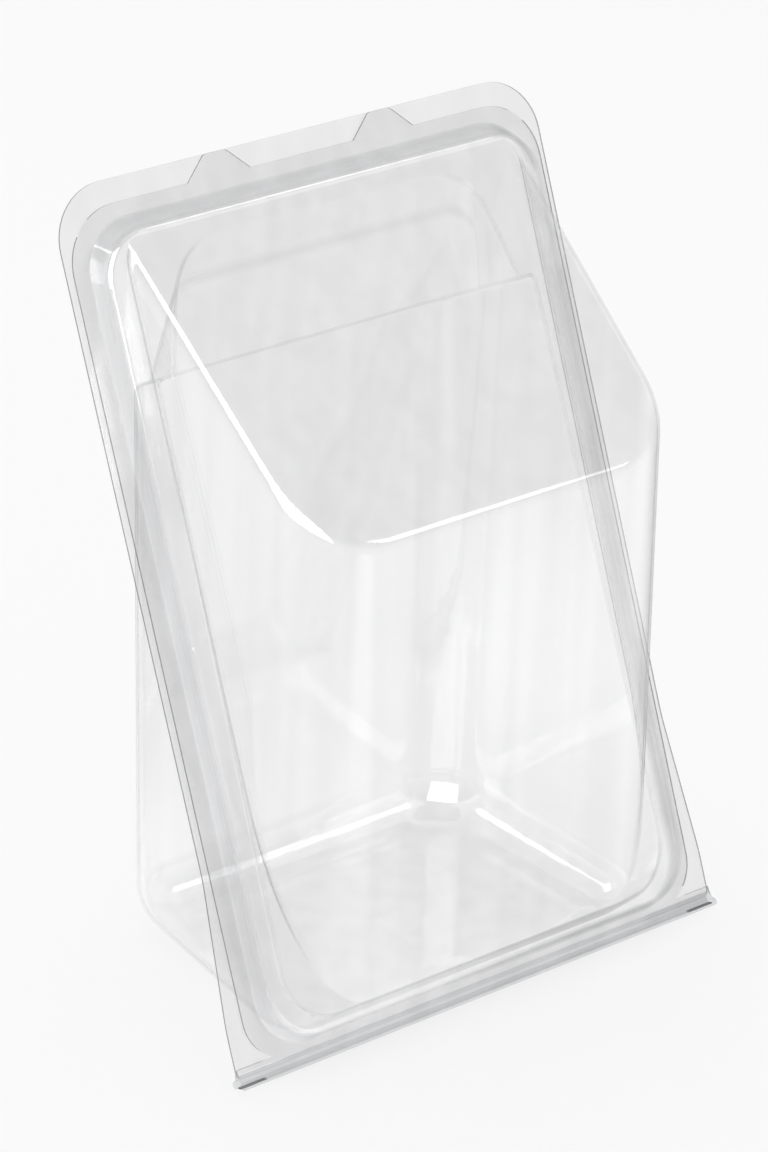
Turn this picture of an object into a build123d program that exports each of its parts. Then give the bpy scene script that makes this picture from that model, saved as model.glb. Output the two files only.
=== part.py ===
"""Clear hinged pack that stands upright: a deep tray, and a domed lid on a moulded hinge.

The mouth of the pack is a long rectangle that leans back from a hinge at the front foot.
The rim frame has its origin on the hinge line: u runs across, v up the slope of the rim
and h straight out of the mouth, towards the lid. The origin of the part itself is on the
table, in the middle of the tray's floor.
"""
import os
from math import cos, radians, sin, tan

from build123d import *

# Sheet and overall sizes, in millimetres and degrees
SHEET = 0.4
SEAM = 0.1
RIM_WIDTH = 125.0
RIM_LENGTH = 190.0
RIM_LEAN = 23.15
HINGE_HEIGHT = 1.65
HINGE_TO_ORIGIN = 38.0

# Tray flange, a little wider beside the hinge
FLANGE_CORNER = 12.5
FLARE = 2.5
FLARE_END = 12.0
FLARE_START = 44.0
FLARE_BLEND = 60.0

# Lid flange, a step inside the tray's, and its two opening tabs
LID_SIDE_STEP = 1.5
LID_TOP_STEP = 5.0
LID_FOOT = 2.4
LID_TOP_CORNER = 13.0
LID_FOOT_CORNER = 10.0
TAB_CENTRE = 21.4
TAB_TIP_HALF = 2.8
TAB_BASE_HALF = 8.4
TAB_CORNER = 2.0

# Lock ring, measured on the outside of the lid
RING_HEIGHT = 6.0
RING_SIDE = 5.0
RING_FOOT = 3.3
RING_TOP = 7.7
RING_CORNER = 12.0
RING_SIDE_SLOPE = 1.05
RING_FOOT_SLOPE = 2.9
RING_TOP_SLOPE = 3.2
RING_EDGE = 1.6
RING_FIT = 0.2

# Tray, seen from the side; the floor is measured back from the hinge line
MOUTH_FOOT = 8.7
MOUTH_TOP = 13.3
FLOOR_FRONT = 10.0
FLOOR_BACK = 73.4
STEP_BELOW_TOP = 29.2
STEP_DRAFT = 6.0
UPPER_WALL_SLOPE = 29.2
FLOOR_RADIUS = 11.5
FRONT_ROUNDER = 2.5
BACK_CORNER = 16.0
UPPER_CORNER = 8.0
STEP_EDGE = 2.0

# Tray, seen from the front: how far its mouth lies inside the rim, and its draft
LOWER_SIDE_FOOT = 9.9
LOWER_SIDE_STEP = 12.5
UPPER_SIDE_STEP = 16.5
UPPER_SIDE_HEAD = 25.0
TRAY_TOP_CORNER = 14.0
TRAY_DRAFT = 4.0

# Lid dome: its upright front stands a little before the hinge line
DOME_OUT = 2.05
DOME_SIDE = 10.9
DOME_DRAFT = 3.3
DOME_TOP = 12.4
RIDGE_SHARE = 0.63
DOME_CORNER = 20.0
DOME_EDGE = 4.0

# Hinge: two beads joined by a flat web
BEAD_RADIUS = 0.85
BEAD_OUT = 1.6
WEB_SHEET = 0.3
WEB_V = -0.5
HINGE_FIT = 0.1
JOG_V = 3.0
JOG_BEND = 2.4

# How far the forms run past the mouth and the floor before they are trimmed
SPARE = 14.0
BEYOND = 60.0

lean = radians(RIM_LEAN)
hinge = (0, -HINGE_TO_ORIGIN, HINGE_HEIGHT)
rim = Plane(origin=hinge, x_dir=(1, 0, 0), z_dir=(0, -cos(lean), sin(lean)))
rim_side = Plane(origin=hinge, x_dir=(0, sin(lean), cos(lean)), z_dir=(1, 0, 0))
outward = Axis((0, 0, 0), rim.z_dir)
across = Axis((0, 0, 0), rim.x_dir)
upward = Axis((0, 0, 0), rim.y_dir)


def to_rim(y, z):
    """The point (v, h) of the rim frame that is y behind the hinge line and z above the table."""
    rise = z - HINGE_HEIGHT
    return Vector(y * sin(lean) + rise * cos(lean), rise * sin(lean) - y * cos(lean))


def moved(start, end, distance):
    """The line from start to end, moved to its left."""
    along = (end - start).normalized()
    aside = Vector(-along.Y, along.X) * distance
    return (start + aside, end + aside)


def meet(first, second):
    """The point of the side view where two lines cross."""
    run = first[1] - first[0]
    other = second[1] - second[0]
    gap = second[0] - first[0]
    share = (gap.X * other.Y - gap.Y * other.X) / (run.X * other.Y - run.Y * other.X)
    return first[0] + run * share


def level(height):
    """The line of the side view at one height above the rim."""
    return (Vector(0, height), Vector(1, height))


def trimmed(form, points):
    """What a form shares with a closed outline of the side view."""
    with BuildPart() as part:
        add(form)
        with BuildSketch(rim_side):
            Polygon(*[(point.X, point.Y) for point in points], align=None)
        extrude(amount=RIM_WIDTH, both=True, mode=Mode.INTERSECT)
    return part.part


def ring_form(inset, foot, top, edge):
    """Solid block that fills the lock ring, from one height to another."""
    with BuildPart() as form:
        for height in (foot, top):
            share = height / RING_HEIGHT
            half = RIM_WIDTH / 2 - RING_SIDE - RING_SIDE_SLOPE * share - inset
            low = RING_FOOT + RING_FOOT_SLOPE * share + inset
            high = RIM_LENGTH - RING_TOP - RING_TOP_SLOPE * share - inset
            with BuildSketch(rim.offset(height)):
                with Locations((0, (low + high) / 2)):
                    RectangleRounded(2 * half, high - low, RING_CORNER - share - inset)
        loft(ruled=True)
        fillet(form.faces().sort_by(outward)[-1].edges(), edge)
    return form.part


def tray_plan(inset, depth, low, high):
    """Drafted block with rounded top corners, deeper and taller than the tray.

    Two points, each a height up the rim and a step inside its edge, give its straight sides.
    """
    slope = (high[1] - low[1]) / (high[0] - low[0])
    with BuildPart() as form:
        for height in (-depth, RING_HEIGHT + SPARE):
            narrow = (RING_HEIGHT - height) * tan(radians(TRAY_DRAFT)) + inset
            top_v = RIM_LENGTH - MOUTH_TOP - narrow
            half = RIM_WIDTH / 2 - low[1] - narrow
            foot = half + (low[0] + BEYOND) * slope
            top = half - (top_v - low[0]) * slope
            with BuildSketch(rim.offset(height)) as outline:
                Polygon((-foot, -BEYOND), (foot, -BEYOND), (top, top_v), (-top, top_v), align=None)
                fillet(outline.vertices().group_by(Axis.Y)[-1], TRAY_TOP_CORNER - inset)
        loft(ruled=True)
    return form.part


def tray_form(inset):
    """Solid that fills the tray: the deep body, and the shallower top above the step."""
    foot = Vector(MOUTH_FOOT, RING_HEIGHT)
    front = to_rim(FLOOR_FRONT, 0)
    back = to_rim(FLOOR_BACK, 0)
    high = to_rim(FLOOR_BACK, RIM_LENGTH)
    head = Vector(RIM_LENGTH - MOUTH_TOP, RING_HEIGHT)
    step_foot = Vector(head.X - STEP_BELOW_TOP, 0)
    step_top = step_foot + Vector(tan(radians(STEP_DRAFT)), 1)
    below = head - Vector(1, tan(radians(UPPER_WALL_SLOPE)))

    ramp = moved(foot, front, inset)
    floor = moved(front, back, inset)
    back_wall = moved(back, high, inset)
    step = moved(step_foot, step_top, inset)
    upper_wall = moved(below, head, inset)
    above = level(RING_HEIGHT + SPARE)
    depth = SPARE - back.Y
    lower_plan = tray_plan(inset, depth, (0, LOWER_SIDE_FOOT), (step_foot.X, LOWER_SIDE_STEP))
    upper_plan = tray_plan(inset, depth, (step_foot.X, UPPER_SIDE_STEP), (head.X, UPPER_SIDE_HEAD))

    body = (
        meet(above, ramp),
        meet(ramp, floor),
        meet(floor, back_wall),
        meet(back_wall, step),
        meet(step, above),
    )
    with BuildPart() as lower:
        add(trimmed(lower_plan, body))
        wall = lower.faces().sort_by(Axis.Y)[-1]
        corners = [edge for edge in wall.edges() if abs((edge % 0.5).X) < 0.5]
        fillet(corners, BACK_CORNER - inset)
        front_edge = lower.faces().sort_by(Axis.Z)[0].edges().sort_by(Axis.Y)[0]
        fillet(front_edge, FLOOR_RADIUS + FRONT_ROUNDER - inset)
        round_floor = lower.faces().sort_by(Axis.Z)[0].edges().sort_by(Axis.Y)[1:]
        fillet(round_floor, FLOOR_RADIUS - inset)
        shelf = lower.faces().sort_by(upward)[-1]
        fillet(shelf.edges().sort_by(outward)[:-1], STEP_EDGE - inset)

    top = (meet(step, above), meet(step, upper_wall), meet(upper_wall, above))
    with BuildPart() as upper:
        add(trimmed(upper_plan, top))
        wall = upper.faces().sort_by(Axis.Y)[-1]
        fillet(wall.edges().sort_by(upward)[1:], UPPER_CORNER - inset)

    with BuildPart() as form:
        add(lower.part)
        add(upper.part)
    return form.part


def dome_form(inset):
    """Solid that fills the dome: a wedge with an upright front and a ridge across."""
    bottom = RING_HEIGHT - SHEET
    with BuildPart() as form:
        for height in (bottom, RIM_LENGTH / 2):
            narrow = (height - RING_HEIGHT) * tan(radians(DOME_DRAFT)) + inset
            with BuildSketch(rim.offset(height)):
                with Locations((0, RIM_LENGTH / 2)):
                    Rectangle(RIM_WIDTH - 2 * (DOME_SIDE + narrow), RIM_LENGTH + 2 * BEYOND)
        loft(ruled=True)
    ridge = to_rim(-DOME_OUT, RIM_LENGTH * RIDGE_SHARE)
    head = Vector(RIM_LENGTH - DOME_TOP, RING_HEIGHT)
    front = moved(ridge, to_rim(-DOME_OUT, 0), inset)
    top = moved(head, ridge, inset)
    below = level(bottom)
    with BuildPart() as dome:
        add(trimmed(form.part, (meet(below, front), meet(front, top), meet(top, below))))
        face = dome.faces().sort_by(Axis.Y)[0]
        corners = [edge for edge in face.edges() if abs((edge % 0.5).X) < 0.9]
        fillet(corners, DOME_CORNER - inset)
        crest = dome.edges().filter_by(across).sort_by(outward)[-1]
        fillet(crest, DOME_EDGE - inset)
    return dome.part


def cut_off(form, height):
    """The part of a form that lies below a height above the rim."""
    with BuildPart() as piece:
        add(form)
        with BuildSketch(rim.offset(height)):
            Rectangle(4 * RIM_LENGTH, 4 * RIM_LENGTH)
        extrude(amount=RIM_LENGTH, mode=Mode.SUBTRACT)
    return piece.part


def hinge_foot(side):
    """Section of one bead and the sheet that joins it to its flange, on one side of the seam."""
    near = SEAM / 2
    far = SEAM / 2 + SHEET
    with BuildSketch(rim_side) as foot:
        with Locations((0, side * BEAD_OUT)):
            Circle(BEAD_RADIUS)
        Polygon(
            (JOG_V + SHEET, side * near),
            (JOG_V + SHEET, side * far),
            (JOG_BEND, side * far),
            (0, side * (BEAD_OUT + SHEET / 2)),
            (0, side * (BEAD_OUT - SHEET / 2)),
            (JOG_BEND, side * near),
            align=None,
        )
    return foot.sketch_local


seat = RING_HEIGHT - SHEET - SEAM
nested = SHEET + RING_FIT
tub = cut_off(tray_form(0), seat)
tub_inside = tray_form(SHEET)
dome = dome_form(0)
dome_inside = dome_form(SHEET)
tray_ring = ring_form(nested, -SEAM, seat, RING_EDGE - nested)
tray_ring_inside = ring_form(nested + SHEET, -RING_HEIGHT, seat - SHEET, RING_EDGE - nested - SHEET)
lid_ring = ring_form(0, SEAM, RING_HEIGHT, RING_EDGE)
lid_ring_inside = ring_form(SHEET, -RING_HEIGHT, RING_HEIGHT - SHEET, RING_EDGE - SHEET)
hinge_half = RIM_WIDTH / 2 + FLARE
lid_half = RIM_WIDTH / 2 - LID_SIDE_STEP
lid_top = RIM_LENGTH - LID_TOP_STEP

with BuildPart() as base_tray:
    with BuildSketch(rim.offset(-SEAM / 2)) as rim_outline:
        Polygon(
            (-hinge_half, JOG_V),
            (hinge_half, JOG_V),
            (hinge_half, FLARE_END),
            (RIM_WIDTH / 2, FLARE_START),
            (RIM_WIDTH / 2, RIM_LENGTH),
            (-RIM_WIDTH / 2, RIM_LENGTH),
            (-RIM_WIDTH / 2, FLARE_START),
            (-hinge_half, FLARE_END),
            align=None,
        )
        fillet(rim_outline.vertices().group_by(Axis.Y)[-1], FLANGE_CORNER)
        rows = rim_outline.vertices().group_by(Axis.Y)
        fillet(rows[1] + rows[2], FLARE_BLEND)
    extrude(amount=-SHEET)
    add(tray_ring)
    add(tray_ring_inside, mode=Mode.SUBTRACT)
    add(tub)
    add(tub_inside, mode=Mode.SUBTRACT)
    with BuildSketch(rim_side):
        add(hinge_foot(-1))
        with Locations((WEB_V, -(BEAD_RADIUS + HINGE_FIT) / 2)):
            Rectangle(WEB_SHEET, 2 * BEAD_OUT - BEAD_RADIUS - HINGE_FIT)
    extrude(amount=hinge_half, both=True)

base_tray.part.label = "base_tray"

with BuildPart() as lid:
    with BuildSketch(rim.offset(SEAM / 2)) as lid_outline:
        with Locations((0, (LID_FOOT + lid_top) / 2)):
            Rectangle(2 * lid_half, lid_top - LID_FOOT)
        fillet(lid_outline.vertices().group_by(Axis.Y)[0], LID_FOOT_CORNER)
        fillet(lid_outline.vertices().group_by(Axis.Y)[-1], LID_TOP_CORNER)
        with Locations((-TAB_CENTRE, 0), (TAB_CENTRE, 0)):
            Polygon(
                (-TAB_BASE_HALF, lid_top - SHEET),
                (TAB_BASE_HALF, lid_top - SHEET),
                (TAB_TIP_HALF, RIM_LENGTH),
                (-TAB_TIP_HALF, RIM_LENGTH),
                align=None,
            )
        fillet(lid_outline.vertices().group_by(Axis.Y)[-1], TAB_CORNER)
    extrude(amount=SHEET)
    add(lid_ring)
    add(dome)
    add(lid_ring_inside, mode=Mode.SUBTRACT)
    add(dome_inside, mode=Mode.SUBTRACT)
    with BuildSketch(rim_side):
        add(hinge_foot(1))
    extrude(amount=hinge_half, both=True)

lid.part.label = "lid"

os.makedirs("parts", exist_ok=True)
export_step(base_tray.part, "parts/base_tray.step")
export_step(lid.part, "parts/lid.step")
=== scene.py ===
"""Clear hinged pack that stands upright, on a white studio floor.

The CAD model's two halves keep their shape. This script gives them a thin clear film, and adds
the floor, the lamps and the camera. Lengths are metres and angles are degrees.
"""

from math import cos, radians, sin

import bpy
from mathutils import Matrix, Vector

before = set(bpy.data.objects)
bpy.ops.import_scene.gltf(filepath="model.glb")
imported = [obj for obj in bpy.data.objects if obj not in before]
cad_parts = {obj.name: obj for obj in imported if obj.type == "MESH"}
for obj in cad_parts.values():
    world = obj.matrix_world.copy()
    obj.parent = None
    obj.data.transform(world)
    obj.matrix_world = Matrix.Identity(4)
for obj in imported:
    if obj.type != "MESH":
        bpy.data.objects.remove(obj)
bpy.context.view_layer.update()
scene = bpy.context.scene
scene.view_settings.view_transform = "Standard"
scene.cycles.transparent_max_bounces = 64
scene.cycles.glossy_bounces = 2
scene.cycles.diffuse_bounces = 1

# The rim's own frame, as in the CAD model: the hinge line, then up the rim and out of it
HINGE = Vector((0.0, -0.038, 0.00165))
RIM_LEAN = radians(23.15)
UP_RIM = Vector((0.0, sin(RIM_LEAN), cos(RIM_LEAN)))
OUT_RIM = Vector((0.0, -cos(RIM_LEAN), sin(RIM_LEAN)))

# Where the film tells the parts of the sheet apart, measured in the rim's frame
EDGE_HEIGHT = 0.0006  # flanges lie within this of the rim plane
RING_TOP = 0.0058  # height of the lock ring's walls
RING_SIDE = 0.0582  # the flange's cut edges lie beyond this at the sides
RING_HEAD = 0.183  # and beyond this at the head
BEAD_TOP = 0.0022  # the hinge beads lie below this
STEEP = 0.55  # a wall's normal has less than this share out of the rim plane
WALL_FULL, WALL_NONE = 0.3, 0.8  # the same share where the fine lines start and end their fade

# Painted highlight and painted shade: fine pale and dark lines round the foot of the deep forms,
# in place of the sheet's small radii
LINE_HALF = 0.0009
SHADE_HALF = 0.0005
LINE_RELIEF = 0.00025
# painted highlight: how far the line at the foot is paled towards white
LINE_HIGHLIGHT = 0.8
LINE_SHEEN = 0.2
SHEEN_ROUGHNESS = 0.45

# Film colours: a full wall is a product of the layers that a ray passes through
WHITE = (1, 1, 1, 1)
TRAY_TINT = (0.987, 0.987, 0.988, 1)
LID_TINT = (0.991, 0.991, 0.992, 1)
# painted shade on the lock ring's steep walls, for the grey bands they show
LID_RING_SHADE = (0.96, 0.962, 0.965, 1)
# painted shade: the dark line under the foot of the lid's deep form
LID_FOOT_SHADE = (0.6, 0.605, 0.61, 1)
GRAZING_COLOUR = (0.40, 0.405, 0.41, 1)
FLANGE_COLOUR = (0.965, 0.965, 0.965, 1)
CUT_COLOUR = (0.3, 0.305, 0.31, 1)
BEAD_COLOUR = (0.9, 0.903, 0.906, 1)
SHADOW_COLOUR = (0.93, 0.93, 0.93, 1)

# How strongly the film darkens and mirrors as it turns away from the eye
GRAZING_POWER = 10.0
MIRROR_POWER = 5.0
MIRROR_GAIN, MIRROR_FACE = 0.5, 0.07
BEAD_DULLS = 0.65

# Marks of the moulding: streaks drawn down the walls, slow ripples and a fine grain
STREAK_STRETCH = (170.0, 170.0, 5.0)
STREAK_PALE = {1: 0.35, 2: 0.65, 3: 0.985, 4: 1.0}
RIPPLE = 0.0004
GRAIN_SIZE = 900.0

# The studio: the pale floor and the room, as the eye and the film see them
FLOOR_HALF = 6.0
FLOOR_DROP = 0.0002
FLOOR_MATT = (0.9, 0.9, 0.9, 1)
FLOOR_GLOW = (0.97, 0.97, 0.97, 1)
FLOOR_SHARE = 0.77
GLOW_STRIP_MIDDLE = 0.03  # glowing strip painted into the floor, seen only in the film: a painted reflection
GLOW_STRIP = {1: 0.02, 2: 0.06, 3: 1.35, 4: 0.84}
ROOM_LIGHT = (0.6, 0.6, 0.6, 1)
ROOM_MIRRORED = {1: 0.25, 2: 0.7, 3: 0.7, 4: 0.05}  # paler at the horizon than overhead
LAMP_AIM = Vector((0.0, 0.0, 0.08))

# Name, place, size, power, and whether the film mirrors it or it lights the floor
LAMPS = (
    ("left_box", (-0.85, -0.8, 1.1), (1.4, 1.4), 26.0, True),
    ("right_box", (0.8, -0.68, 1.16), (0.3, 0.3), 0.7, True),
    ("back_box", (-0.7, 1.05, 0.9), (0.45, 0.35), 1.7, True),
    ("top_box", (-0.1, 0.35, 1.5), (1.1, 1.1), 12.0, False),
)

# Camera: where the middle of the hinge line falls in the 768 by 1152 image
IMAGE = (768, 1152)
FOCAL_PIXELS = 4520.9
AZIMUTH = radians(-38.14)
ELEVATION = radians(27.64)
ROLL = radians(1.95)
HINGE_PIXEL = (483.0, 990.0)
HINGE_DISTANCE = 0.9801
SENSOR = 36.0
CAMERA_REACH = 50.0


def add_camera():
    """Camera at the photograph's angle, placed so that the hinge line falls on its pixel."""
    back = Vector((sin(AZIMUTH) * cos(ELEVATION), -cos(AZIMUTH) * cos(ELEVATION), sin(ELEVATION)))
    level = Vector((cos(AZIMUTH), sin(AZIMUTH), 0.0))
    right = level * cos(ROLL) + back.cross(level) * sin(ROLL)
    up = back.cross(right)
    across = (HINGE_PIXEL[0] - IMAGE[0] / 2) * HINGE_DISTANCE / FOCAL_PIXELS
    down = (HINGE_PIXEL[1] - IMAGE[1] / 2) * HINGE_DISTANCE / FOCAL_PIXELS
    place = HINGE - right * across + up * down + back * HINGE_DISTANCE
    data = bpy.data.cameras.new("camera")
    data.sensor_width = SENSOR
    data.lens = SENSOR * FOCAL_PIXELS / IMAGE[1]
    data.clip_end = CAMERA_REACH
    camera = bpy.data.objects.new("camera", data)
    turn = Matrix((right, up, back)).transposed().to_4x4()
    camera.matrix_world = Matrix.Translation(place) @ turn
    scene.collection.objects.link(camera)
    scene.camera = camera


class Nodes:
    """Short calls for building one shader node tree."""

    def __init__(self, tree):
        self.tree = tree
        tree.nodes.clear()

    def add(self, kind, inputs=(), **values):
        node = self.tree.nodes.new(kind)
        for name, value in values.items():
            setattr(node, name, value)
        for key, value in dict(inputs).items():
            if isinstance(value, bpy.types.NodeSocket):
                self.tree.links.new(value, node.inputs[key])
            else:
                node.inputs[key].default_value = value
        return node

    def math(self, operation, first, second=0.0, third=0.0):
        inputs = {0: first, 1: second, 2: third}
        return self.add("ShaderNodeMath", inputs, operation=operation).outputs[0]

    def times(self, first, second):
        return self.math("MULTIPLY", first, second)

    def larger(self, first, second):
        return self.math("MAXIMUM", first, second)

    def vector(self, operation, first, second):
        node = self.add("ShaderNodeVectorMath", {0: first, 1: second}, operation=operation)
        return node.outputs["Value" if operation == "DOT_PRODUCT" else "Vector"]

    def ramp(self, value, limits, smooth=False):
        """Map a value from limits 1 and 2 to limits 3 and 4."""
        node = self.add("ShaderNodeMapRange", {"Value": value, **limits})
        if smooth:
            node.interpolation_type = "SMOOTHSTEP"
        return node.outputs[0]

    def band(self, value, middle, half, smooth=False):
        """1 at a middle value, and 0 from half a band's width away."""
        away = self.math("ABSOLUTE", self.math("SUBTRACT", value, middle))
        return self.ramp(away, {1: 0.0, 2: half, 3: 1.0, 4: 0.0}, smooth)

    def noise(self, coords, size):
        inputs = {"Vector": coords, "Scale": size, "Detail": 1.0}
        return self.add("ShaderNodeTexNoise", inputs).outputs["Fac"]

    def bump(self, height, distance, **normal):
        inputs = {"Height": height, "Strength": 1.0, "Distance": distance, **normal}
        return self.add("ShaderNodeBump", inputs).outputs[0]

    def facing(self, **normal):
        inputs = {"Blend": 0.5, **normal}
        return self.add("ShaderNodeLayerWeight", inputs).outputs["Facing"]

    def mix(self, share, first, second, blend="MIX"):
        inputs = {0: share, 6: first, 7: second}
        node = self.add("ShaderNodeMix", inputs, data_type="RGBA", blend_type=blend)
        return node.outputs[2]

    def shader(self, kind, **inputs):
        return self.add(f"ShaderNode{kind}", inputs).outputs[0]

    def blend(self, share, first, second):
        return self.add("ShaderNodeMixShader", {0: share, 1: first, 2: second}).outputs[0]


def rim_places(make, coords, normal):
    """Masks of the sheet's parts, told by where they lie from the rim and how they turn."""
    place = make.vector("SUBTRACT", coords, tuple(HINGE))
    height = make.vector("DOT_PRODUCT", place, tuple(OUT_RIM))
    climb = make.vector("DOT_PRODUCT", place, tuple(UP_RIM))
    side = make.math("ABSOLUTE", make.add("ShaderNodeSeparateXYZ", {0: coords}).outputs["X"])
    flat = make.math("ABSOLUTE", make.vector("DOT_PRODUCT", normal, tuple(OUT_RIM)))

    steep = make.math("LESS_THAN", flat, STEEP)
    low = make.math("LESS_THAN", make.math("ABSOLUTE", height), EDGE_HEIGHT)
    high = make.math("GREATER_THAN", height, RING_TOP)
    below = make.math("LESS_THAN", height, -EDGE_HEIGHT)
    beyond = make.larger(
        make.math("GREATER_THAN", side, RING_SIDE), make.math("GREATER_THAN", climb, RING_HEAD)
    )
    off_ring = make.larger(make.larger(high, below), low)
    return {
        "height": height,
        "wall": make.ramp(flat, {1: WALL_FULL, 2: WALL_NONE, 3: 1.0, 4: 0.0}),
        "bead": make.math("LESS_THAN", climb, BEAD_TOP),
        "cut": make.times(make.times(steep, low), beyond),
        "flange": make.times(make.math("SUBTRACT", 1.0, steep), low),
        "ring": make.times(steep, make.math("SUBTRACT", 1.0, off_ring)),
    }


def film_colour(make, coords, at, foot_highlight, shade, tint, ring_shade, foot_shade):
    """What the film lets through: pale streaks, darker edges and grazing views, a painted
    highlight and painted shade at the foot, and painted shade on the lock ring's walls.
    """
    drawn = make.vector("MULTIPLY", coords, STREAK_STRETCH)
    pale = make.ramp(make.noise(drawn, 1.0), STREAK_PALE)
    slant = make.math("POWER", make.facing(), GRAZING_POWER)
    colour = make.mix(1.0, tint, pale, "MULTIPLY")
    colour = make.mix(slant, colour, GRAZING_COLOUR)
    colour = make.mix(at["flange"], colour, FLANGE_COLOUR, "MULTIPLY")
    # painted highlight: the line at the foot is paled towards white
    colour = make.mix(make.times(foot_highlight, LINE_HIGHLIGHT), colour, WHITE)
    colour = make.mix(at["cut"], colour, CUT_COLOUR)
    # painted shade: the lock ring's steep walls are darkened
    colour = make.mix(at["ring"], colour, ring_shade, "MULTIPLY")
    # painted shade: the dark line under the foot
    colour = make.mix(shade, colour, foot_shade, "MULTIPLY")
    return make.mix(at["bead"], colour, BEAD_COLOUR, "MULTIPLY")


def clear_sheet(name, tint, ring_shade, foot_shade, ripple_size, gloss, foot):
    """Thin clear film that mirrors the studio, with a painted highlight and painted shade as fine
    lines at the height of its foot.
    """
    material = bpy.data.materials.new(name)
    material.use_nodes = True
    make = Nodes(material.node_tree)
    source = make.add("ShaderNodeTexCoord").outputs
    coords = source["Object"]
    at = rim_places(make, coords, source["Normal"])

    # The small round at the foot of the deep form is a pale line of painted highlight, with a
    # dark line of painted shade under it
    foot_highlight = make.times(make.band(at["height"], foot, LINE_HALF, smooth=True), at["wall"])
    shade = make.times(make.band(at["height"], foot - LINE_HALF, SHADE_HALF), at["wall"])
    waves = make.bump(make.noise(coords, ripple_size), RIPPLE)
    relief = make.bump(foot_highlight, LINE_RELIEF, Normal=waves)

    colour = film_colour(make, coords, at, foot_highlight, shade, tint, ring_shade, foot_shade)
    film = make.shader("BsdfTransparent", Color=colour)
    sheen = make.shader("BsdfGlossy", Color=WHITE, Roughness=SHEEN_ROUGHNESS)
    body = make.blend(make.times(foot_highlight, LINE_SHEEN), film, sheen)

    grain = {1: 0.3, 2: 0.7, 3: gloss * 0.7, 4: gloss * 1.5}
    rough = make.ramp(make.noise(coords, GRAIN_SIZE), grain)
    shine = make.shader("BsdfGlossy", Color=WHITE, Roughness=rough, Normal=relief)
    glance = make.math("POWER", make.facing(Normal=relief), MIRROR_POWER)
    mirror = make.math("MULTIPLY_ADD", glance, MIRROR_GAIN, MIRROR_FACE)
    mirror = make.times(mirror, make.math("MULTIPLY_ADD", at["bead"], -BEAD_DULLS, 1.0))
    mixed = make.blend(mirror, body, shine)

    # Shadow rays and the floor's own light meet plain film, which keeps the render short
    path = make.add("ShaderNodeLightPath").outputs
    shaded = make.larger(path["Is Shadow Ray"], path["Is Diffuse Ray"])
    plain = make.shader("BsdfTransparent", Color=SHADOW_COLOUR)
    make.add("ShaderNodeOutputMaterial", {"Surface": make.blend(shaded, mixed, plain)})
    return material


def plain_floor():
    """White floor that keeps the pack's shadow, with a glowing strip that only the film's
    reflections see.
    """
    half = FLOOR_HALF
    corners = [(-half, -half, 0), (half, -half, 0), (half, half, 0), (-half, half, 0)]
    mesh = bpy.data.meshes.new("floor")
    mesh.from_pydata(corners, [], [(0, 1, 2, 3)])
    floor = bpy.data.objects.new("floor", mesh)
    scene.collection.objects.link(floor)
    floor.location.z = -FLOOR_DROP
    material = bpy.data.materials.new("floor_white")
    material.use_nodes = True
    make = Nodes(material.node_tree)
    path = make.add("ShaderNodeLightPath").outputs
    seen = make.larger(path["Is Camera Ray"], path["Is Glossy Ray"])
    seen = make.larger(seen, path["Is Transmission Ray"])
    coords = make.add("ShaderNodeTexCoord").outputs["Object"]
    across = make.add("ShaderNodeSeparateXYZ", {0: coords}).outputs["X"]
    # painted reflection: a strip of the floor glows brighter than white for glossy rays only
    glow_strip = make.ramp(make.math("ABSOLUTE", make.math("ADD", across, GLOW_STRIP_MIDDLE)), GLOW_STRIP)
    colour = make.mix(path["Is Glossy Ray"], FLOOR_GLOW, glow_strip)
    matt = make.shader("BsdfDiffuse", Color=FLOOR_MATT)
    glow = make.shader("Emission", Color=colour, Strength=1.0)
    surface = make.blend(make.times(seen, FLOOR_SHARE), matt, glow)
    make.add("ShaderNodeOutputMaterial", {"Surface": surface})
    mesh.materials.append(material)


def add_lamp(name, place, size, power, mirrored):
    """Soft rectangular lamp aimed at the pack: the film mirrors it, or it lights the floor."""
    data = bpy.data.lights.new(name, "AREA")
    data.shape = "RECTANGLE"
    data.size, data.size_y = size
    data.energy = power
    lamp = bpy.data.objects.new(name, data)
    lamp.location = place
    lamp.rotation_euler = (LAMP_AIM - Vector(place)).to_track_quat("-Z", "Y").to_euler()
    lamp.visible_diffuse = not mirrored
    lamp.visible_glossy = mirrored
    scene.collection.objects.link(lamp)


def pale_room():
    """World that is white to the eye, and a room with a pale horizon in the film."""
    world = bpy.data.worlds.new("studio")
    scene.world = world
    world.use_nodes = True
    make = Nodes(world.node_tree)
    path = make.add("ShaderNodeLightPath").outputs
    seen = make.larger(path["Is Camera Ray"], path["Is Transmission Ray"])
    coords = make.add("ShaderNodeTexCoord").outputs["Generated"]
    rise = make.add("ShaderNodeSeparateXYZ", {0: coords}).outputs["Z"]
    light = make.shader("Background", Color=ROOM_LIGHT, Strength=1.0)
    room = make.shader("Background", Color=make.ramp(rise, ROOM_MIRRORED), Strength=1.0)
    white = make.shader("Background", Color=WHITE, Strength=1.0)
    unseen = make.blend(path["Is Glossy Ray"], light, room)
    make.add("ShaderNodeOutputWorld", {"Surface": make.blend(seen, unseen, white)})


add_camera()
plain_floor()
pale_room()
for lamp in LAMPS:
    add_lamp(*lamp)

films = {
    "base_tray": clear_sheet("tray_sheet", TRAY_TINT, WHITE, WHITE, 30.0, 0.04, 0.0046),
    "lid": clear_sheet("lid_sheet", LID_TINT, LID_RING_SHADE, LID_FOOT_SHADE, 26.0, 0.035, 0.0068),
}
for node, material in films.items():
    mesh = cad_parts[node].data
    mesh.materials.clear()
    mesh.materials.append(material)
